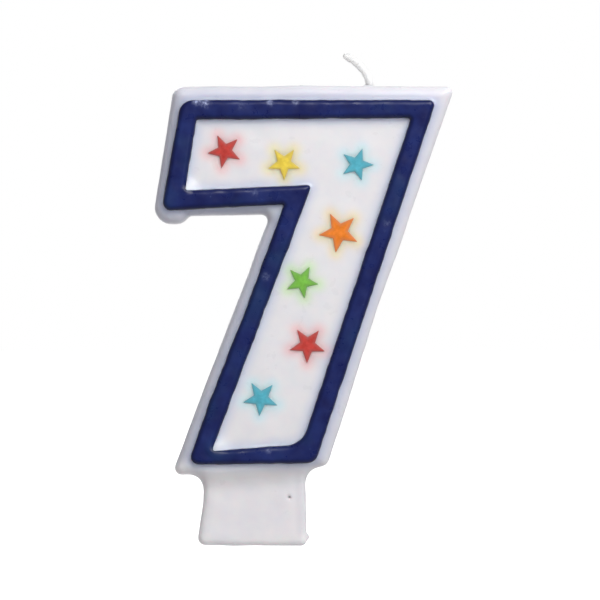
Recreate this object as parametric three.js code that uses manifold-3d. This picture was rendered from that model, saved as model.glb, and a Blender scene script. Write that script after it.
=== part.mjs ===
// Moulded wax birthday candle in the shape of the numeral 7, standing on the flat tab that is
// pushed into the cake. Millimetres, +Z up. The decorated front looks towards -Y.
// The origin is the middle of the tab's bottom end.
import * as THREE from 'three';
import { mergeVertices } from 'three/addons/utils/BufferGeometryUtils.js';
import Module from 'manifold-3d';

const wasm = await Module();
wasm.setup();

// Driving dimensions.
const waxHeight = 82.5;
const slabThickness = 8;
const slabBevel = 0.7;
const tabThickness = 5;
const tabBevel = 0.6;
const beadHeight = 1.2;
const beadBevel = 0.8;
const coatThickness = 0.35;
const coatGap = 0.1;
const ridgeRoot = 1;
const starThickness = 0.15;
const starPoints = 5;
const starInnerRatio = 0.42;
const wickRadius = 0.65;
const wickGap = 0.3;
const wickBallHeight = 1;
const wickSides = 12;
const wickTipSteps = 12;
const arcSegments = 4;
const smallestRadius = 0.1;
const mergeDistance = 1e-5;

const frontY = -slabThickness / 2;

// Outlines seen from the front, anticlockwise: [x, z, corner radius].
// The arm's lower left end runs down into a rounded lobe before the arm's lower edge starts.
const numeralCorners = [
  [-14.2, waxHeight, 1.9],
  [-18.05, 58.25, 2.9],
  [-12.9, 58.25, 2.0],
  [-11.4, 59.5, 0.8],
  [3.4, 59.95, 0.8],
  [-14.65, 12.75, 1.3],
  [13.25, 14.5, 1.5],
  [36.2, waxHeight, 0.8],
];
const tabCorners = [
  [-12.0, 16.0, 0],
  [-12.0, 12.75, 0],
  [-8.9, 12.75, 1.8],
  [-9.95, 0, 1.2],
  [9.75, 0, 1.2],
  [9.6, 14.4, 2.0],
  [12.0, 14.5, 0],
  [12.0, 16.0, 0],
];
const beadOuterCorners = [
  [-12.8, 80.35, 2.1],
  [-16.45, 60.4, 1.5],
  [5.75, 61.6, 0.9],
  [-11.6, 14.8, 1.3],
  [11.25, 15.05, 2.2],
  [33.05, 80.35, 0.9],
];
const beadInnerCorners = [
  [-10.05, 76.95, 0.9],
  [-12.15, 64.05, 0.9],
  [10.6, 65.05, 0.9],
  [-7.35, 17.2, 0.9],
  [8.9, 18.4, 3.0],
  [28.55, 77.15, 0.9],
];

// The wick runs up the middle of the stem and comes out of the top edge.
const wickFoot = new THREE.Vector3(0.2, 0, 16.5);
const wickExit = new THREE.Vector3(20.9, 0, waxHeight);
const wickBend = [
  new THREE.Vector3(20.3, 0, 85.3),
  new THREE.Vector3(18.7, 0, 86.8),
];
const wickEnd = new THREE.Vector3(16.6, 0, 88.1);
const wickDirection = wickExit.clone().sub(wickFoot).normalize();
const wickPivot = wickExit.clone().addScaledVector(wickDirection, wickBallHeight);
const coreStart = wickFoot.clone().addScaledVector(wickDirection, wickGap);
const coreEnd = wickPivot.clone().addScaledVector(wickDirection, -wickRadius - wickGap);

// Printed stars: centre, outer radius and the direction of one point, in degrees.
const stars = [
  { name: 'star_red_upper', material: 'red', x: -5.0, z: 71.2, radius: 3.2, turn: 43 },
  { name: 'star_yellow', material: 'yellow', x: 5.7, z: 69.0, radius: 3.1, turn: 54 },
  { name: 'star_blue_upper', material: 'blue', x: 18.8, z: 68.8, radius: 3.1, turn: -1.5 },
  { name: 'star_orange', material: 'orange', x: 15.6, z: 56.6, radius: 3.8, turn: 44 },
  { name: 'star_green', material: 'green', x: 8.9, z: 47.7, radius: 3.1, turn: 63 },
  { name: 'star_red_lower', material: 'red', x: 9.9, z: 36.3, radius: 3.4, turn: 52 },
  { name: 'star_blue_lower', material: 'blue', x: 1.5, z: 26.7, radius: 3.3, turn: 49 },
];

const materials = {
  wax: new THREE.MeshStandardMaterial({ color: 0xeeecf2, roughness: 0.35, metalness: 0 }),
  coat: new THREE.MeshStandardMaterial({ color: 0x1f2a66, roughness: 0.25, metalness: 0 }),
  red: new THREE.MeshStandardMaterial({ color: 0xcb3f3c, roughness: 0.4, metalness: 0 }),
  yellow: new THREE.MeshStandardMaterial({ color: 0xecce4d, roughness: 0.4, metalness: 0 }),
  blue: new THREE.MeshStandardMaterial({ color: 0x4facc0, roughness: 0.4, metalness: 0 }),
  orange: new THREE.MeshStandardMaterial({ color: 0xed8228, roughness: 0.4, metalness: 0 }),
  green: new THREE.MeshStandardMaterial({ color: 0x7abb4b, roughness: 0.4, metalness: 0 }),
  wick: new THREE.MeshStandardMaterial({ color: 0xe9e6e0, roughness: 0.8, metalness: 0 }),
};

// Draws a closed outline through the corners, each turned with an arc of its own radius.
function traceOutline(path, corners) {
  corners.forEach(([x, z, radius], index) => {
    const corner = new THREE.Vector2(x, z);
    const before = new THREE.Vector2(...corners.at(index - 1)).sub(corner).normalize();
    const after = new THREE.Vector2(...corners[(index + 1) % corners.length]).sub(corner).normalize();
    if (radius === 0) {
      if (index === 0) path.moveTo(x, z);
      else path.lineTo(x, z);
      return;
    }
    const halfAngle = Math.acos(before.dot(after)) / 2;
    const tangent = radius / Math.tan(halfAngle);
    const towardCentre = before.clone().add(after).setLength(radius / Math.sin(halfAngle));
    const centre = corner.clone().add(towardCentre);
    const start = corner.clone().addScaledVector(before, tangent).sub(centre).angle();
    const end = corner.clone().addScaledVector(after, tangent).sub(centre).angle();
    path.absarc(centre.x, centre.y, radius, start, end, before.cross(after) > 0);
  });
  path.closePath();
  return path;
}

// Moves every side of an outline inwards by a distance, or outwards by a negative one.
function insetCorners(corners, distance) {
  return corners.map(([x, z, radius], index) => {
    const corner = new THREE.Vector2(x, z);
    const before = corner.clone().sub(new THREE.Vector2(...corners.at(index - 1))).normalize();
    const after = new THREE.Vector2(...corners[(index + 1) % corners.length]).sub(corner).normalize();
    const normals = new THREE.Vector2(-before.y - after.y, before.x + after.x);
    const scale = distance / (1 + before.dot(after));
    const turnsLeft = before.cross(after) > 0;
    const newRadius = Math.max(radius + (turnsLeft ? -distance : distance), smallestRadius);
    return [x + normals.x * scale, z + normals.y * scale, newRadius];
  });
}

// A plate of the outline, its front face at y = front, with rounded long edges.
function plate(shape, thickness, bevel, front) {
  const geometry = new THREE.ExtrudeGeometry(shape, {
    depth: thickness - 2 * bevel,
    curveSegments: arcSegments,
    bevelEnabled: bevel > 0,
    bevelThickness: bevel,
    bevelSize: bevel,
    bevelOffset: -bevel,
    bevelSegments: arcSegments,
  });
  geometry.rotateX(Math.PI / 2);
  geometry.translate(0, front + thickness - bevel, 0);
  return geometry;
}

// A ring between the two edges of the bead, drawn in from both by a distance.
function beadRing(inset) {
  const ring = traceOutline(new THREE.Shape(), insetCorners(beadOuterCorners, inset));
  ring.holes.push(traceOutline(new THREE.Path(), insetCorners(beadInnerCorners, -inset)));
  return ring;
}

// A round bar from one point to another, both on the plane y = 0.
function bar(from, to, radius) {
  const along = to.clone().sub(from);
  const geometry = new THREE.CylinderGeometry(radius, radius, along.length(), wickSides);
  geometry.rotateX(Math.PI / 2);
  geometry.rotateY(Math.atan2(along.x, along.z));
  const middle = from.clone().add(to).multiplyScalar(0.5);
  geometry.translate(middle.x, middle.y, middle.z);
  return geometry;
}

function toSolid(geometry) {
  const plain = geometry.index ? geometry.toNonIndexed() : geometry.clone();
  plain.deleteAttribute('normal');
  plain.deleteAttribute('uv');
  const merged = mergeVertices(plain, mergeDistance);
  const mesh = new wasm.Mesh({
    numProp: 3,
    vertProperties: new Float32Array(merged.attributes.position.array),
    triVerts: new Uint32Array(merged.index.array),
  });
  return new wasm.Manifold(mesh);
}

function toGeometry(solid) {
  const mesh = solid.getMesh();
  const geometry = new THREE.BufferGeometry();
  geometry.setAttribute('position', new THREE.BufferAttribute(mesh.vertProperties, 3));
  geometry.setIndex(new THREE.BufferAttribute(mesh.triVerts, 1));
  geometry.computeVertexNormals();
  return geometry;
}

const candle = new THREE.Group();

function addPiece(name, geometry, material) {
  const mesh = new THREE.Mesh(geometry, materials[material]);
  mesh.name = name;
  candle.add(mesh);
}

// Wax casting: slab, tab and ridge poured as one, with the channel that the wick fills.
function makeWaxBody() {
  const slab = plate(traceOutline(new THREE.Shape(), numeralCorners), slabThickness, slabBevel, frontY);
  const tab = plate(traceOutline(new THREE.Shape(), tabCorners), tabThickness, tabBevel, -tabThickness / 2);
  const ridgeHeight = beadHeight - coatThickness - coatGap;
  const ridge = plate(beadRing(coatThickness + coatGap), ridgeHeight + ridgeRoot, 0, frontY - ridgeHeight);
  const channelEnd = wickExit.clone().addScaledVector(wickDirection, wickBallHeight);
  const channel = bar(wickFoot, channelEnd, wickRadius + wickGap);
  return toSolid(slab)
    .add(toSolid(tab))
    .add(toSolid(ridge))
    .subtract(toSolid(channel));
}

// Navy coat: a rounded bead, hollow underneath where the ridge fills it.
function makeOutlineCoat() {
  const bead = plate(beadRing(0), 2 * beadHeight, beadBevel, frontY - beadHeight);
  const pocketHeight = beadHeight - coatThickness;
  const pocket = plate(beadRing(coatThickness), pocketHeight + ridgeRoot, 0, frontY - pocketHeight);
  const behindFace = new THREE.BoxGeometry(2 * waxHeight, slabThickness, 2 * waxHeight);
  behindFace.translate(0, frontY + slabThickness / 2, 0);
  return toSolid(bead).subtract(toSolid(pocket)).subtract(toSolid(behindFace));
}

function starShape({ x, z, radius, turn }) {
  const shape = new THREE.Shape();
  for (let point = 0; point < 2 * starPoints; point += 1) {
    const angle = THREE.MathUtils.degToRad(turn + (180 / starPoints) * point);
    const reach = point % 2 === 0 ? radius : radius * starInnerRatio;
    const place = [x + reach * Math.cos(angle), z + reach * Math.sin(angle)];
    if (point === 0) shape.moveTo(...place);
    else shape.lineTo(...place);
  }
  shape.closePath();
  return shape;
}

// Free end of the wick: a bent tube that starts in a ball round the bending point.
function makeWickTip() {
  const route = new THREE.CatmullRomCurve3([wickPivot, ...wickBend, wickEnd]);
  const section = new THREE.Shape().absarc(0, 0, wickRadius, 0, 2 * Math.PI, false);
  const tube = new THREE.ExtrudeGeometry(section, {
    steps: wickTipSteps,
    curveSegments: arcSegments,
    bevelEnabled: false,
    extrudePath: route,
  });
  const ball = new THREE.SphereGeometry(wickRadius, wickSides, wickSides / 2);
  ball.translate(wickPivot.x, wickPivot.y, wickPivot.z);
  return toSolid(tube).add(toSolid(ball));
}

addPiece('wax_body', toGeometry(makeWaxBody()), 'wax');
addPiece('outline_coat', toGeometry(makeOutlineCoat()), 'coat');
for (const star of stars) {
  addPiece(star.name, plate(starShape(star), starThickness, 0, frontY - starThickness), star.material);
}
addPiece('wick_core', bar(coreStart, coreEnd, wickRadius), 'wick');
addPiece('wick_tip', toGeometry(makeWickTip()), 'wick');

export default candle;
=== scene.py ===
"""Looks of a moulded numeral birthday candle.

White wax with a navy coat on its raised outline, printed stars and a cotton wick. Shapes are worked
out in millimetres, in the frame's own axes. The wax and its coat are distance fields (negative
inside) that are turned into fine meshes, because poured wax has soft fillets and edges everywhere.
"""
import math

import bpy
import numpy as np
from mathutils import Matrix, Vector


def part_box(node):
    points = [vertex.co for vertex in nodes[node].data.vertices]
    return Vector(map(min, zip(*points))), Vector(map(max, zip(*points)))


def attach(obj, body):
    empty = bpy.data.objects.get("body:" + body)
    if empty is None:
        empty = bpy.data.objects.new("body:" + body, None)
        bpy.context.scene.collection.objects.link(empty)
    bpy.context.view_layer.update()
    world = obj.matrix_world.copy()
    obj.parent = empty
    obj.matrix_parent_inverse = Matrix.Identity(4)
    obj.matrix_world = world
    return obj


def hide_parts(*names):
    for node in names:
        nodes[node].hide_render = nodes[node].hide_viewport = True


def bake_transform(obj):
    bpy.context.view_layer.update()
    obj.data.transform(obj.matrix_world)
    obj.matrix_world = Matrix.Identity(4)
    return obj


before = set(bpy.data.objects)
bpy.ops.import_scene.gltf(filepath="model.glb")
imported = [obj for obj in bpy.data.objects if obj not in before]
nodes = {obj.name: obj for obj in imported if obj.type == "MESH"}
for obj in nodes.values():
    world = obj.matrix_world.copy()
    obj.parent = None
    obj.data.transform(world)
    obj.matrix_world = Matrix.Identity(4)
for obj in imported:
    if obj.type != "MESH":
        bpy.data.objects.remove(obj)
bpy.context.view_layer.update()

MM = 0.001

# Faces of the CAD model, in millimetres.
body_low, body_high = (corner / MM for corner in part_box("wax_body"))
coat_low, coat_high = (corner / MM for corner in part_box("outline_coat"))
FRONT = coat_high.y
BACK = body_high.y
TOP = body_high.z
BEAD_FRONT = coat_low.y

# Half of the tab's thickness.
TAB_HALF = 2.5

# Place near the candle's middle that the camera and the lights aim at.
MIDDLE_X = 8.55
MIDDLE_Z = 44.4

# Outlines seen from the front, anticlockwise: (x, z, corner radius).
# Long sides sag a little, so some have a bend.
NUMERAL = [
    (-14.2, TOP + 0.2, 1.9),
    (-18.05, 58.25, 2.9),
    (-12.9, 58.25, 2.0),
    (-11.4, 59.6, 0.8),
    (3.4, 60.05, 1.3),
    (-14.65, 12.75, 1.3),
    (13.4, 14.5, 1.6),
    (22.5, 43.1, 60.0),
    (36.3, TOP + 0.25, 0.9),
    (8.0, TOP + 0.5, 60.0),
]
TAB = [
    (-8.6, 16.0, 0.5),
    (-8.9, 8.0, 3.0),
    (-10.12, 0.15, 1.4),
    (9.85, -0.05, 1.2),
    (9.35, 16.0, 0.5),
]
BEAD_OUTER = [
    (-12.8, 80.35, 2.6),
    (-16.45, 60.4, 1.5),
    (5.75, 61.65, 0.3),
    (-0.7, 44.0, 40.0),
    (-8.05, 25.2, 20.0),
    (-11.55, 14.8, 1.3),
    (11.25, 15.05, 2.2),
    (33.05, 80.35, 0.9),
]
BEAD_INNER = [
    (-10.1, 76.9, 0.4),
    (-12.15, 64.05, 0.4),
    (10.65, 65.1, 0.5),
    (-7.35, 17.2, 0.4),
    (8.9, 18.4, 4.2),
    (28.55, 77.15, 0.4),
]

# How far the numeral's edge stands outside its outline.
NUMERAL_OVERSIZE = 0.08

# Radii of the wax's long edges, and of the fillets where its parts meet.
SLAB_FRONT_EDGE = 1.9
SLAB_BACK_EDGE = 1.0
TAB_EDGE = 1.0
RIDGE_FRONT_EDGE = 0.8
RIDGE_ROOT_EDGE = 0.5
TAB_FILLET = 3.6
RIDGE_FILLET = 0.9

# Seam where the mould's halves met: depth in the slab, half width, rise.
SEAM_Y = 1.2
SEAM_WIDTH = 0.22
SEAM_RISE = 0.07

# The ridge is a little smaller than the bead that the coat makes of it, and starts inside the slab.
RIDGE_INSET = 0.12
RIDGE_FRONT = BEAD_FRONT + 0.25
RIDGE_ROOT = -1.0

# The coat reaches from under the wax's surface to just above it, and a little past the bead's edges.
COAT_RISE = 0.14
COAT_DEPTH = 0.45
COAT_OVERHANG = 0.07
COAT_EDGE_RADIUS = 0.25
COAT_BACK = -2.6

# Wax that pooled in the sharp corners inside the bead: x, z, reach.
POOLS = [
    (-12.2, 63.9, 2.6),
    (-7.4, 17.1, 3.6),
]
POOL_RISE = 1.1
POOL_SUNK = 0.4
POOL_FILLET = 0.4
POOL_UNDER_BEAD = 0.8

# Spots where the coat is thin and the wax shines through: x, z, reach, strength.
THIN_SPOTS = [
    (-9.9, 80.2, 0.6, 0.45),
    (-8.5, 79.85, 0.6, 0.5),
    (-2.1, 79.3, 0.7, 0.06),
    (3.2, 79.95, 0.5, 0.28),
    (7.8, 80.1, 0.45, 0.28),
    (2.4, 48.6, 0.55, 0.12),
    (24.2, 58.2, 0.6, 0.08),
    (0.5, 63.8, 0.6, 0.08),
    (2.9, 17.2, 0.4, 0.14),
]

# Air bubble that broke on the tab's front, and flash at the tab's lower right corner.
PIT = (6.65, -TAB_HALF, 8.85)
FLASH = (9.95, -0.6, 1.6)

# Wick route, from its foot in the wax to its tip.
WICK_RADIUS = 0.74
WICK_FOOT = (0.2, 16.8)
WICK_INSIDE = (10.6, 49.7)
WICK_EXIT = (20.9, TOP)
WICK_FREE = [(21.1, 83.6), (20.45, 85.4), (18.95, 87.1), (17.7, 88.05), (16.35, 88.65)]
WICK_STEP = 0.16
WICK_SIDES = 40
STRAND_PITCH = 4.2

# Printed stars: CAD node, radius, direction of one point in degrees, ink.
STARS = [
    ("star_red_upper", 3.2, 43.0, "red"),
    ("star_yellow", 3.1, 54.0, "yellow"),
    ("star_blue_upper", 3.1, -1.5, "blue"),
    ("star_orange", 3.8, 44.0, "orange"),
    ("star_green", 3.1, 63.0, "green"),
    ("star_red_lower", 3.4, 52.0, "red"),
    ("star_blue_lower", 3.3, 49.0, "blue"),
]
STAR_INNER = 0.42
TIP_RADIUS = 0.07
NOTCH_RADIUS = 0.12
PRINT_RISE = 0.13
PRINT_DEPTH = 0.2
INKS = {
    "red": (0.585, 0.045, 0.034),
    "yellow": (0.92, 0.67, 0.065),
    "blue": (0.09, 0.465, 0.59),
    "orange": (0.95, 0.23, 0.012),
    "green": (0.19, 0.52, 0.055),
}
# Colour that each ink bleeds into the wax round it, as a share of the wax's own colour.
HALOS = {
    "red": (1.15, 0.74, 0.73),
    "yellow": (1.13, 1.0, 0.58),
    "blue": (0.8, 1.06, 1.12),
    "orange": (1.17, 0.96, 0.6),
    "green": (0.84, 1.09, 0.68),
}
HALO_REACH = 1.25
HALO_STRENGTH = 0.75


# ---------------------------------------------------------------- distance fields

def rounded_outline(corners, arc_steps=10):
    """Points of a closed outline with each corner turned by an arc of its own radius."""
    points = []
    count = len(corners)
    for index, (x, z, radius) in enumerate(corners):
        corner = np.array([x, z])
        before = np.array(corners[index - 1][:2]) - corner
        after = np.array(corners[(index + 1) % count][:2]) - corner
        before /= np.linalg.norm(before)
        after /= np.linalg.norm(after)
        half_angle = math.acos(float(before @ after)) / 2
        middle = before + after
        middle /= np.linalg.norm(middle)
        centre = corner + middle * radius / math.sin(half_angle)
        start = corner + before * radius / math.tan(half_angle) - centre
        turn = math.pi - 2 * half_angle
        if before[0] * after[1] - before[1] * after[0] > 0:
            turn = -turn
        for step in range(arc_steps + 1):
            cosine = math.cos(turn * step / arc_steps)
            sine = math.sin(turn * step / arc_steps)
            turned = [cosine * start[0] - sine * start[1], sine * start[0] + cosine * start[1]]
            points.append(centre + turned)
    return np.array(points)


def outline_distance(x, z, outline):
    """Signed distance from each point to a closed outline."""
    nearest = np.full(x.shape, 1e9)
    inside = np.zeros(x.shape, bool)
    for start, end in zip(outline, np.roll(outline, -1, axis=0)):
        side = end - start
        length = max(float(side @ side), 1e-12)
        along = np.clip(((x - start[0]) * side[0] + (z - start[1]) * side[1]) / length, 0, 1)
        gap_x = x - start[0] - along * side[0]
        gap_z = z - start[1] - along * side[1]
        nearest = np.minimum(nearest, gap_x * gap_x + gap_z * gap_z)
        if start[1] != end[1]:
            crosses = (start[1] > z) != (end[1] > z)
            inside ^= crosses & (x < start[0] + (z - start[1]) * side[0] / side[1])
    return np.sqrt(nearest) * np.where(inside, -1, 1)


def smooth_union(a, b, blend):
    """Where either field is negative, with a fillet between them."""
    share = np.clip(0.5 + 0.5 * (b - a) / blend, 0, 1)
    return b + (a - b) * share - blend * share * (1 - share)


def smooth_cut(a, b, blend):
    """Where both fields are negative, with the edge between them rounded."""
    return -smooth_union(-a, -b, blend)


def rounded_plate(flat, y, front, back, front_radius, back_radius):
    """A plate of a flat outline's distance between two faces, with rounded long edges."""
    def half(depth, radius):
        across = flat + radius
        outside = np.hypot(np.maximum(across, 0), np.maximum(depth + radius, 0))
        return np.minimum(np.maximum(across, depth + radius), 0) + outside - radius
    middle = (front + back) / 2
    return np.where(y < middle, half(front - y, front_radius), half(y - back, back_radius))


def ball(x, y, z, centre, radius, squash=(1, 1, 1)):
    """Distance to a ball. A factor under 1 on an axis makes it longer that way."""
    gap_x = (x - centre[0]) * squash[0]
    gap_y = (y - centre[1]) * squash[1]
    gap_z = (z - centre[2]) * squash[2]
    return np.sqrt(gap_x**2 + gap_y**2 + gap_z**2) - radius


def ripple(x, y, z, wavelength, seed, waves=9):
    """Smooth wandering values between about -1 and 1, from a few sine waves of set directions."""
    chance = np.random.default_rng(seed)
    total = 0
    for _ in range(waves):
        wave = chance.normal(size=3)
        wave *= 2 * math.pi / wavelength / np.linalg.norm(wave) * chance.uniform(0.6, 1.4)
        phase = chance.uniform(0, 6.28)
        total = total + np.sin(x * wave[0] + y * wave[1] + z * wave[2] + phase)
    return total / math.sqrt(waves * 2)


def fade(value, zero, one):
    """A share that grows from 0 to 1 while the value goes from one limit to the other."""
    return np.clip((value - zero) / (one - zero), 0, 1)


# ---------------------------------------------------------------- meshes from fields

def surface_net(field, low, steps):
    """Quads round the zero surface of a field: one vertex in each cell that the surface crosses."""
    inside = field < 0
    corners = [(i, j, k) for i in (0, 1) for j in (0, 1) for k in (0, 1)]
    cells = tuple(size - 1 for size in field.shape)

    def corner_view(array, offset):
        return array[tuple(slice(o, o + size) for o, size in zip(offset, cells))]

    count_inside = sum(corner_view(inside, offset).astype(np.int8) for offset in corners)
    crossed = (count_inside > 0) & (count_inside < 8)
    number = np.full(cells, -1, np.int64)
    number[crossed] = np.arange(int(crossed.sum()))
    base = np.argwhere(crossed)
    total = np.zeros((len(base), 3))
    hits = np.zeros(len(base))
    for a in corners:
        for axis in range(3):
            if a[axis]:
                continue
            b = tuple(1 if n == axis else a[n] for n in range(3))
            value_a = corner_view(field, a)[crossed]
            value_b = corner_view(field, b)[crossed]
            cut = (value_a < 0) != (value_b < 0)
            share = np.where(cut, value_a / np.where(cut, value_a - value_b, 1), 0)
            point = np.tile(np.array(a, float), (len(base), 1))
            point[:, axis] = share
            total[cut] += point[cut]
            hits += cut
    vertices = (base + total / hits[:, None]) * steps + low
    quads = [crossing_quads(inside, number, axis) for axis in range(3)]
    return vertices, np.concatenate(quads).tolist()


def crossing_quads(inside, number, axis):
    """One quad round each grid edge along an axis that goes through the surface, facing out."""
    u = (axis + 1) % 3
    v = (axis + 2) % 3
    first = [slice(1, -1)] * 3
    first[axis] = slice(0, -1)
    second = list(first)
    second[axis] = slice(1, None)
    starts = inside[tuple(first)]
    ends = inside[tuple(second)]
    places = np.argwhere(starts != ends)
    places[:, u] += 1
    places[:, v] += 1
    ring = []
    for du, dv in ((-1, -1), (0, -1), (0, 0), (-1, 0)):
        cell = places.copy()
        cell[:, u] += du
        cell[:, v] += dv
        ring.append(number[tuple(cell.T)])
    ring = np.stack(ring, axis=1)
    turned = ends[starts != ends]
    ring[turned] = ring[turned][:, ::-1]
    return ring


def grid(low, high, steps):
    """Three arrays of grid places, ready to broadcast, that reach past the box by two steps."""
    axes = [np.arange(low[n] - 2 * steps[n], high[n] + 3 * steps[n], steps[n]) for n in range(3)]
    x = axes[0][:, None, None]
    y = axes[1][None, :, None]
    z = axes[2][None, None, :]
    return x, y, z, np.array([axis[0] for axis in axes])


def make_object(name, vertices, faces, material):
    """A smooth Blender object from millimetre vertices and lists of vertex numbers."""
    mesh = bpy.data.meshes.new(name)
    mesh.from_pydata((np.asarray(vertices) * MM).tolist(), [], faces)
    mesh.materials.append(material)
    mesh.shade_smooth()
    made = bpy.data.objects.new(name, mesh)
    bpy.context.scene.collection.objects.link(made)
    return made


# ---------------------------------------------------------------- the wax and its coat

def bead_distances(x, z):
    """Distances over the front view to the bead's outer edge, its inner edge and the bead itself."""
    outer = outline_distance(x, z, rounded_outline(BEAD_OUTER))
    inner = outline_distance(x, z, rounded_outline(BEAD_INNER))
    return outer, inner, np.maximum(outer, -inner)


def flat_fields(x, z):
    """Distances over the front view: numeral, tab, bead, and the panel inside the bead."""
    flat_x, flat_z = np.broadcast_arrays(x[:, 0, :], z[:, 0, :])
    wander = 0.09 * ripple(flat_x, 0, flat_z, 9.0, seed=3)
    numeral = outline_distance(flat_x, flat_z, rounded_outline(NUMERAL)) + wander - NUMERAL_OVERSIZE
    tab = outline_distance(flat_x, flat_z, rounded_outline(TAB)) + 0.6 * wander
    _, panel, bead = bead_distances(flat_x, flat_z)
    return [flat[:, None, :] for flat in (numeral, tab, bead, panel)]


def add_pools(wax, x, y, z, panel):
    """Adds a low cone of wax in each sharp corner of the panel."""
    for pool_x, pool_z, reach in POOLS:
        rise = POOL_RISE * (1 - np.hypot(x - pool_x, z - pool_z) / reach)
        pool = np.maximum(FRONT - rise - y, panel - POOL_UNDER_BEAD)
        wax = smooth_union(wax, np.maximum(pool, y - FRONT - POOL_SUNK), POOL_FILLET)
    return wax


def wax_field(x, y, z):
    """The whole casting: slab with its seam, tab, ridge, pools, wick collar, flash and broken bubble."""
    numeral, tab, bead, panel = flat_fields(x, z)
    slab = rounded_plate(numeral, y, FRONT, BACK, SLAB_FRONT_EDGE, SLAB_BACK_EDGE)
    slab = slab - SEAM_RISE * np.exp(-(((y - SEAM_Y) / SEAM_WIDTH) ** 2))
    foot = rounded_plate(tab, y, -TAB_HALF, TAB_HALF, TAB_EDGE, TAB_EDGE)
    wax = smooth_union(slab, foot, TAB_FILLET)
    wax = np.maximum(wax, np.maximum(FRONT - y, y - BACK))
    ridge = rounded_plate(
        bead + RIDGE_INSET, y, RIDGE_FRONT, RIDGE_ROOT, RIDGE_FRONT_EDGE, RIDGE_ROOT_EDGE
    )
    wax = smooth_union(wax, ridge, RIDGE_FILLET)
    wax = add_pools(wax, x, y, z, panel)
    collar = ball(x, y, z, (WICK_EXIT[0], 0, WICK_EXIT[1]), radius=0.85, squash=(1, 1, 0.9))
    wax = smooth_union(wax, collar, 0.9)
    wax = smooth_union(wax, ball(x, y, z, FLASH, radius=0.42), 0.5)
    wax = smooth_cut(wax, -ball(x, y, z, PIT, radius=0.28, squash=(1, 0.6, 1)), 0.15)
    fine = 0.035 * ripple(x, y, z, 5.0, seed=11)
    broad = 0.05 * ripple(x, y * 0.5, z, 16.0, seed=12)
    return wax + fine + broad


def coat_field(x, y, z):
    """A thin skin over the ridge: between just under and just over the wax, inside the bead's edges."""
    wax = wax_field(x, y, z)
    bead = flat_fields(x, z)[2]
    ragged = 0.05 * ripple(x, 0, z, 5.0, seed=21) + 0.03 * ripple(x, 0, z, 1.8, seed=22)
    skin = wax - COAT_RISE - 0.035 * ripple(x, y, z, 3.0, seed=23)
    shell = smooth_cut(skin, bead + ragged - COAT_OVERHANG, COAT_EDGE_RADIUS)
    shell = smooth_cut(shell, -(wax + COAT_DEPTH), 0.1)
    return np.maximum(shell, y - COAT_BACK)


def star_outline(x, z, radius, turn):
    """Star corners: centre, reach and direction give ten corners with slightly soft tips."""
    corners = []
    for point in range(10):
        angle = math.radians(turn + 36 * point)
        is_tip = point % 2 == 0
        reach = radius if is_tip else radius * STAR_INNER
        softness = TIP_RADIUS if is_tip else NOTCH_RADIUS
        corners.append((x + reach * math.cos(angle), z + reach * math.sin(angle), softness))
    return rounded_outline(corners, 4)


def star_centre(node):
    """Middle of a CAD star's corners. The middle of its box is elsewhere, as five points are uneven."""
    points = np.array([(v.co.x, v.co.z) for v in nodes[node].data.vertices]) / MM
    return np.unique(points.round(4), axis=0).mean(axis=0)


# ---------------------------------------------------------------- materials

def new_material(name):
    """A node material: itself, its node tree and its shader."""
    material = bpy.data.materials.new(name)
    material.use_nodes = True
    tree = material.node_tree
    shader = tree.nodes["Principled BSDF"]
    return material, tree, shader


def add_node(tree, kind, inputs=None, **settings):
    """A new node. Each input is a socket to link or a value to set."""
    made = tree.nodes.new(kind)
    for key, value in settings.items():
        setattr(made, key, value)
    for key, value in (inputs or {}).items():
        if isinstance(value, bpy.types.NodeSocket):
            tree.links.new(value, made.inputs[key])
        else:
            made.inputs[key].default_value = value
    return made


def noise(tree, size, detail=2.0, roughness=0.5):
    """Noise with features of about that many millimetres, fixed to the object."""
    place = add_node(tree, "ShaderNodeTexCoord").outputs["Object"]
    inputs = {"Vector": place, "Scale": 1 / (size * MM), "Detail": detail, "Roughness": roughness}
    return add_node(tree, "ShaderNodeTexNoise", inputs).outputs["Fac"]


def stored(tree, name, socket="Fac"):
    """A value or a colour that is kept at the mesh's vertices."""
    return add_node(tree, "ShaderNodeAttribute", attribute_name=name).outputs[socket]


def spread(tree, value, low, high, from_low=0.3, from_high=0.7):
    """Maps a noise value onto a range."""
    inputs = {"Value": value, "From Min": from_low, "From Max": from_high, "To Min": low, "To Max": high}
    return add_node(tree, "ShaderNodeMapRange", inputs).outputs["Result"]


def mix_colours(tree, factor, a, b, blend="MIX"):
    """Mixes or multiplies two colours, each a socket or three numbers."""
    made = add_node(tree, "ShaderNodeMix", data_type="RGBA", blend_type=blend)
    for socket, value in ((made.inputs[0], factor), (made.inputs[6], a), (made.inputs[7], b)):
        if isinstance(value, bpy.types.NodeSocket):
            tree.links.new(value, socket)
        elif isinstance(value, tuple):
            socket.default_value = (*value, 1.0)
        else:
            socket.default_value = value
    return made.outputs[2]


def bump(tree, shader, layers):
    """Chains bumps: each layer is a height value, its depth in millimetres and its strength."""
    normal = None
    for height, depth, strength in layers:
        inputs = {"Height": height, "Distance": depth * MM, "Strength": strength}
        if normal is not None:
            inputs["Normal"] = normal
        normal = add_node(tree, "ShaderNodeBump", inputs).outputs["Normal"]
    tree.links.new(normal, shader.inputs["Normal"])


def scatter(shader, radius, scale):
    """Light that goes into the material and comes out nearby, at a scale in millimetres."""
    shader.inputs["Subsurface Weight"].default_value = 1.0
    shader.inputs["Subsurface Radius"].default_value = radius
    shader.inputs["Subsurface Scale"].default_value = scale * MM


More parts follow.
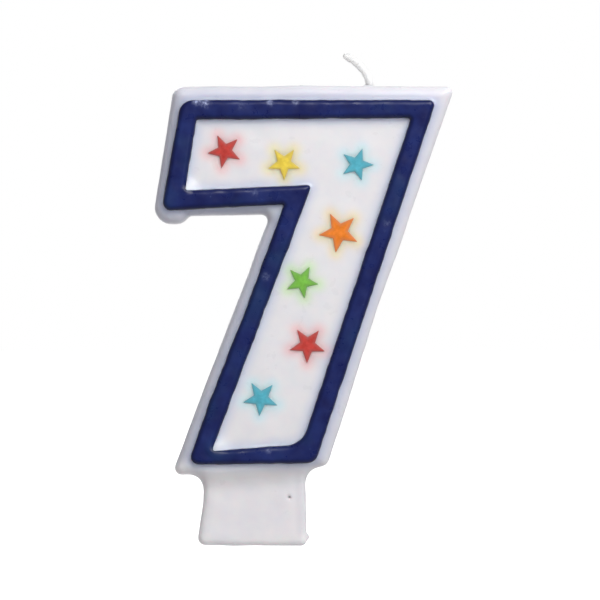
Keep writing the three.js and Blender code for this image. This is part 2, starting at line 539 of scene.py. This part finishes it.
def wax_material():
    """White paraffin wax: mottled, tinted at the vertices with ink and painted shade and light,
    translucent and softly glossy.
    """
    material, tree, shader = new_material("white_wax")
    mottled = spread(tree, noise(tree, 4.0, 3.0, 0.6), 0.0, 1.0)
    base = mix_colours(tree, mottled, (0.83, 0.82, 0.86), (0.88, 0.855, 0.87))
    # The vertex tint holds ink round the stars, painted shade and a painted light band.
    base = mix_colours(tree, 1.0, base, stored(tree, "tint", "Color"), "MULTIPLY")
    tree.links.new(base, shader.inputs["Base Color"])
    tree.links.new(spread(tree, noise(tree, 2.5, 4.0), 0.26, 0.42), shader.inputs["Roughness"])
    shader.inputs["IOR"].default_value = 1.44
    shader.subsurface_method = "RANDOM_WALK"
    scatter(shader, (1.0, 0.85, 0.9), 2.4)
    bump(tree, shader, [(noise(tree, 3.0, 3.0), 0.05, 0.35), (noise(tree, 0.5, 2.0), 0.01, 0.25)])
    return material


def coat_material():
    """Navy wax: uneven, greenish in places, with painted shade towards its edge and pale where it is
    thin.
    """
    material, tree, shader = new_material("navy_coat")
    uneven = spread(tree, noise(tree, 5.0, 3.0, 0.6), 0.0, 1.0)
    base = mix_colours(tree, uneven, (0.006, 0.009, 0.08), (0.015, 0.028, 0.15))
    greenish = spread(tree, noise(tree, 9.0, 2.0), 0.0, 0.7, 0.5, 0.7)
    base = mix_colours(tree, greenish, base, (0.014, 0.04, 0.13))
    # Paler flecks: partly bubbled and worn coat, partly painted sparkle.
    flecks_and_sparkle = spread(tree, noise(tree, 1.1, 4.0, 0.7), 0.0, 1.0, 0.66, 0.8)
    base = mix_colours(tree, flecks_and_sparkle, base, (0.05, 0.075, 0.2))
    # Painted shade: darker towards the bead's edges, where its sides slope away from the light.
    edge = spread(tree, stored(tree, "edge"), 0.0, 0.6, 0.2, 1.0)
    base = mix_colours(tree, edge, base, (0.002, 0.003, 0.03))
    broken = spread(tree, noise(tree, 0.5, 3.0, 0.6), 0.2, 1.9, 0.4, 0.6)
    thin_inputs = {0: stored(tree, "thin"), 1: broken}
    thin = add_node(tree, "ShaderNodeMath", thin_inputs, operation="MULTIPLY").outputs[0]
    base = mix_colours(tree, thin, base, (0.5, 0.56, 0.85))
    tree.links.new(base, shader.inputs["Base Color"])
    tree.links.new(spread(tree, noise(tree, 1.6, 4.0), 0.24, 0.42), shader.inputs["Roughness"])
    shader.inputs["Specular IOR Level"].default_value = 0.3
    bump(tree, shader, [(noise(tree, 2.2, 3.0), 0.12, 0.4), (noise(tree, 0.45, 2.0), 0.02, 0.3)])
    return material


def ink_material(name, colour):
    """Printed ink: patchy, dull towards its edge and pale at the very edge."""
    material, tree, shader = new_material(name + "_print")
    dark = tuple(0.8 * part for part in colour)
    light = tuple(min(1.0, 1.12 * part + 0.02) for part in colour)
    dull = tuple(0.68 * part + 0.06 for part in colour)
    pale = tuple(0.6 * part + 0.3 for part in colour)
    patchy = spread(tree, noise(tree, 1.2, 3.0, 0.6), 0.0, 1.0)
    base = mix_colours(tree, patchy, dark, light)
    edge = stored(tree, "edge")
    base = mix_colours(tree, spread(tree, edge, 0.0, 0.8, 0.5, 0.85), base, dull)
    base = mix_colours(tree, spread(tree, edge, 0.0, 0.6, 0.94, 1.0), base, pale)
    tree.links.new(base, shader.inputs["Base Color"])
    tree.links.new(spread(tree, noise(tree, 0.8, 3.0), 0.3, 0.5), shader.inputs["Roughness"])
    shader.inputs["Specular IOR Level"].default_value = 0.3
    bump(tree, shader, [(noise(tree, 0.6, 3.0), 0.02, 0.3)])
    return material


def wick_material():
    """Cotton soaked in wax: off-white, translucent, with fibres."""
    material, tree, shader = new_material("wick_cotton")
    fibres = noise(tree, 0.35, 4.0, 0.7)
    shade = spread(tree, fibres, 0.0, 1.0)
    base = mix_colours(tree, shade, (0.79, 0.785, 0.775), (0.87, 0.865, 0.855))
    tree.links.new(base, shader.inputs["Base Color"])
    tree.links.new(spread(tree, fibres, 0.5, 0.8), shader.inputs["Roughness"])
    scatter(shader, (1.0, 0.97, 0.94), 3.0)
    bump(tree, shader, [(fibres, 0.06, 0.6)])
    return material


# ---------------------------------------------------------------- pieces

def set_values(made, name, values):
    """Keeps one number at each vertex, for the material to read."""
    attribute = made.data.attributes.new(name, "FLOAT", "POINT")
    attribute.data.foreach_set("value", np.asarray(values, np.float32))


def set_colours(made, name, colours):
    """Keeps one colour at each vertex, for the material to read."""
    attribute = made.data.color_attributes.new(name, "FLOAT_COLOR", "POINT")
    rgba = np.ones((len(colours), 4), np.float32)
    rgba[:, :3] = colours
    attribute.data.foreach_set("color", rgba.ravel())


def tint_by(colours, share, colour):
    """Multiplies the colours by one colour where the share is 1, and leaves them where it is 0."""
    colours *= 1 - share[:, None] * (1 - np.array(colour))


def wax_tint_and_shade(vertices):
    """White, with painted shade on the rim, on the tab's sides, beside the navy bead and in the broken
    bubble, a painted light band below the slab, and ink round each star.
    """
    x, y, z = vertices.T
    colours = np.ones((len(vertices), 3))
    outer, _, bead = bead_distances(x, z)
    tab = outline_distance(x, z, rounded_outline(TAB))

    # Painted shade: greyer on the rim outside the bead, less so on the right and not on the back or the
    # tab.
    rim_shade = fade(outer, -0.72, 0.48) * fade(z, 14, 16) * fade(y, 3, -1)
    rim_shade *= 1 - 0.4 * fade(x, 0, 25)
    tint_by(colours, rim_shade, (0.78, 0.795, 0.84))

    # Painted shade: greyer on the tab's sides, more so on the right.
    tab_side_shade = fade(tab, -2.2, 0) * fade(z, 14, 12) * fade(z, 1, 2.5)
    tab_side_shade *= 0.68 + 0.032 * x
    tint_by(colours, tab_side_shade, (0.78, 0.79, 0.80))

    # Painted shade, tinted lavender, on the front within 2.2 mm of the bead.
    shade_beside_bead = fade(bead, 2.2, 0) ** 1.5 * fade(y, FRONT + 2.5, FRONT + 1)
    tint_by(colours, shade_beside_bead, (0.80, 0.85, 1.0))

    # Painted light: a paler band across the tab's front, where it comes out of the slab and its fillet
    # faces down.
    light_under_slab = np.exp(-(((z - 12.6) / 1.2) ** 2)) * fade(y, 0, -1) * fade(tab, -6, -5)
    tint_by(colours, light_under_slab, (1.07, 1.07, 1.07))

    # Painted shade in the broken bubble, which is too small for the mesh to show as a deep pit.
    pit_shade = np.exp(-(((x - PIT[0]) ** 2 + (z - PIT[2]) ** 2) / 0.06)) * (y < 0)
    tint_by(colours, pit_shade, (0.4, 0.4, 0.4))

    # Ink round each star.
    for node, radius, turn, ink in STARS:
        away = outline_distance(x, z, star_outline(*star_centre(node), radius, turn))
        glow = np.exp(-((np.maximum(away, 0) / HALO_REACH) ** 2)) * (y < FRONT + 0.5)
        tint_by(colours, HALO_STRENGTH * glow, HALOS[ink])
    return colours


def make_wax_body():
    """The white casting."""
    steps = np.array([0.31, 0.24, 0.31])
    x, y, z, low = grid(body_low, body_high + Vector((0.5, 0.2, 1.4)), steps)
    vertices, quads = surface_net(wax_field(x, y, z), low, steps)
    made = make_object("wax_casting", vertices, quads, wax_material())
    set_colours(made, "tint", wax_tint_and_shade(vertices))
    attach(made, "candle")
    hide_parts("wax_body")


def make_outline_coat():
    """The navy skin on the ridge, with the places near its edge and where it is thin marked."""
    steps = np.array([0.19, 0.15, 0.19])
    high = Vector((coat_high.x, FRONT + 1.2, coat_high.z))
    x, y, z, low = grid(coat_low, high, steps)
    vertices, quads = surface_net(coat_field(x, y, z), low, steps)
    made = make_object("outline_coat_skin", vertices, quads, coat_material())
    x, _, z = vertices.T
    set_values(made, "edge", fade(bead_distances(x, z)[2], -1, 0))
    thin = np.zeros(len(vertices))
    for spot_x, spot_z, reach, strength in THIN_SPOTS:
        away = np.hypot(x - spot_x, z - spot_z)
        thin = np.maximum(thin, strength * np.exp(-((away / reach) ** 2)))
    set_values(made, "thin", thin * (1 + 0.5 * ripple(x, 0, z, 0.9, seed=24)))
    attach(made, "candle")
    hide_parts("outline_coat")


def ring_faces(start, rings, count):
    """Quads between rings of points, where each ring's points follow the last one's."""
    faces = []
    for ring in range(rings - 1):
        for n in range(count):
            a = start + ring * count + n
            b = start + ring * count + (n + 1) % count
            faces.append((a, b, b + count, a + count))
    return faces


def make_star(node, radius, turn, ink, material):
    """A thin print, closed all round, with rings of points from its middle to its edge."""
    centre = star_centre(node)
    outline = star_outline(*centre, radius, turn)
    count = len(outline)
    ring_shares = (0.25, 0.5, 0.7, 0.85, 0.95, 1.0)
    vertices = [(centre[0], FRONT - PRINT_RISE, centre[1])]
    edge = [0.0]
    for share in ring_shares:
        drop = 0.05 * share**8
        for x, z in centre + (outline - centre) * share:
            vertices.append((x, FRONT - PRINT_RISE + drop, z))
            edge.append(share)
    for x, z in outline:
        vertices.append((x, FRONT + PRINT_DEPTH, z))
        edge.append(1.0)
    vertices.append((centre[0], FRONT + PRINT_DEPTH, centre[1]))
    edge.append(0.0)
    last_ring = 1 + len(ring_shares) * count
    faces = [(0, 1 + n, 1 + (n + 1) % count) for n in range(count)]
    faces += [face[::-1] for face in ring_faces(1, len(ring_shares) + 1, count)]
    faces += [(last_ring + (n + 1) % count, last_ring + n, last_ring + count) for n in range(count)]
    made = make_object(node + "_print", vertices, faces, material)
    set_values(made, "edge", edge)
    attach(made, "candle")
    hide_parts(node)


def slope(points, n):
    """Direction of a curve at one of the points it goes through, from the points beside it."""
    before = points[max(n - 1, 0)]
    after = points[min(n + 1, len(points) - 1)]
    length = (after - points[n]).length + (points[n] - before).length
    return (after - before) / length


def wick_route():
    """Centreline of the whole wick: straight through the wax, then a smooth bend to the tip."""
    bends = [WICK_FOOT, WICK_INSIDE, WICK_EXIT, *WICK_FREE]
    points = [Vector((x, 0, z)) for x, z in bends]
    route = []
    for n in range(len(points) - 1):
        start = points[n]
        end = points[n + 1]
        span = (end - start).length
        count = max(4, int(span / WICK_STEP))
        leave = slope(points, n) * span
        arrive = slope(points, n + 1) * span
        for step in range(count):
            t = step / count
            end_share = 3 * t**2 - 2 * t**3
            leave_share = t**3 - 2 * t**2 + t
            arrive_share = t**3 - t**2
            place = start * (1 - end_share) + end * end_share
            route.append(place + leave * leave_share + arrive * arrive_share)
    route.append(points[-1])
    return route


def wick_surface(route):
    """Rings of points round the route: three strands wound together, each with finer plies."""
    lengths = [0.0]
    for a, b in zip(route, route[1:]):
        lengths.append(lengths[-1] + (b - a).length)
    across = Vector((0, 1, 0))
    vertices = []
    for n, point in enumerate(route):
        ahead = (route[min(n + 1, len(route) - 1)] - route[max(n - 1, 0)]).normalized()
        up = ahead.cross(across)
        to_tip = max(lengths[-1] - lengths[n], 0.0)
        tip_taper = min(1.0, 0.35 + 0.65 * math.sqrt(to_tip / 1.1))
        foot_taper = min(1.0, 0.3 + lengths[n])
        for side in range(WICK_SIDES):
            angle = 2 * math.pi * side / WICK_SIDES
            strand = abs(math.cos(1.5 * (angle + 2 * math.pi * lengths[n] / STRAND_PITCH)))
            plies = 0.02 * math.sin(9 * angle - lengths[n] * 7.0)
            reach = WICK_RADIUS * tip_taper * foot_taper * (0.87 + 0.13 * strand + plies)
            vertices.append(point + (across * math.cos(angle) + up * math.sin(angle)) * reach)
    return vertices


def make_wick():
    """Braided cotton, matted together by wax. One mesh that bends where it leaves the wax."""
    route = wick_route()
    faces = ring_faces(0, len(route), WICK_SIDES)
    tip = (len(route) - 1) * WICK_SIDES
    faces.append(tuple(range(WICK_SIDES - 1, -1, -1)))
    faces.append(tuple(range(tip, tip + WICK_SIDES)))
    made = make_object("wick", wick_surface(route), faces, wick_material())
    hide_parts("wick_core", "wick_tip")
    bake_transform(made)


# ---------------------------------------------------------------- studio

def aim(made, target):
    """Turns a light or a camera towards a point."""
    made.rotation_euler = (Vector(target) - made.location).to_track_quat("-Z", "Y").to_euler()


def add_light(name, place, size, power):
    """A round soft light that shines at the middle of the candle."""
    light = bpy.data.lights.new(name, "AREA")
    light.shape = "DISK"
    light.size = size
    light.energy = power
    made = bpy.data.objects.new(name, light)
    bpy.context.scene.collection.objects.link(made)
    made.location = place
    aim(made, (MIDDLE_X * MM, 0, MIDDLE_Z * MM))


def make_world():
    """White to the camera. Its light comes mostly from behind and below, away from the key light."""
    world = bpy.data.worlds.new("studio")
    world.use_nodes = True
    tree = world.node_tree
    background = tree.nodes["Background"]
    background.inputs["Color"].default_value = (1, 1, 1, 1)
    direction = add_node(tree, "ShaderNodeTexCoord").outputs["Generated"]
    facing_inputs = {0: direction, 1: (0, 0.75, -0.65)}
    facing = add_node(tree, "ShaderNodeVectorMath", facing_inputs, operation="DOT_PRODUCT")
    dimmed = spread(tree, facing.outputs["Value"], 0.2, 0.95, -0.2, 1.0)
    seen = add_node(tree, "ShaderNodeLightPath").outputs["Is Camera Ray"]
    strength = add_node(tree, "ShaderNodeMath", {0: dimmed, 1: seen}, operation="MAXIMUM").outputs[0]
    tree.links.new(strength, background.inputs["Strength"])
    bpy.context.scene.world = world


def make_floor():
    """A pale floor that looks white and neither lights nor shades the candle."""
    material, _, shader = new_material("pale_floor")
    shader.inputs["Base Color"].default_value = (0.6, 0.6, 0.6, 1)
    shader.inputs["Roughness"].default_value = 0.9
    shader.inputs["Emission Color"].default_value = (1, 1, 1, 1)
    shader.inputs["Emission Strength"].default_value = 1.0
    half = 3000
    corners = [(-half, -half, 0), (half, -half, 0), (half, half, 0), (-half, half, 0)]
    floor = make_object("floor", corners, [(0, 1, 2, 3)], material)
    floor.visible_diffuse = False
    floor.visible_glossy = False
    floor.visible_transmission = False
    floor.visible_shadow = False


def make_camera():
    """Straight at the decorated front from far away, with 108 mm of width in view."""
    distance = 0.8
    view_width = 0.108
    camera = bpy.data.cameras.new("camera")
    camera.sensor_width = 36
    camera.lens = camera.sensor_width * distance / view_width
    made = bpy.data.objects.new("camera", camera)
    bpy.context.scene.collection.objects.link(made)
    made.location = (MIDDLE_X * MM, FRONT * MM - distance, MIDDLE_Z * MM)
    aim(made, (MIDDLE_X * MM, 0, MIDDLE_Z * MM))
    bpy.context.scene.camera = made


make_camera()
add_light("key", (0.3, -0.5, 0.5), size=0.6, power=6.4)
add_light("back_fill", (-0.25, 0.6, 0.35), size=0.4, power=1.1)
make_world()
make_floor()
make_wax_body()
make_outline_coat()
ink_materials = {ink: ink_material(ink, colour) for ink, colour in INKS.items()}
for star in STARS:
    make_star(*star, ink_materials[star[3]])
make_wick()
bpy.context.scene.view_settings.view_transform = "Standard"
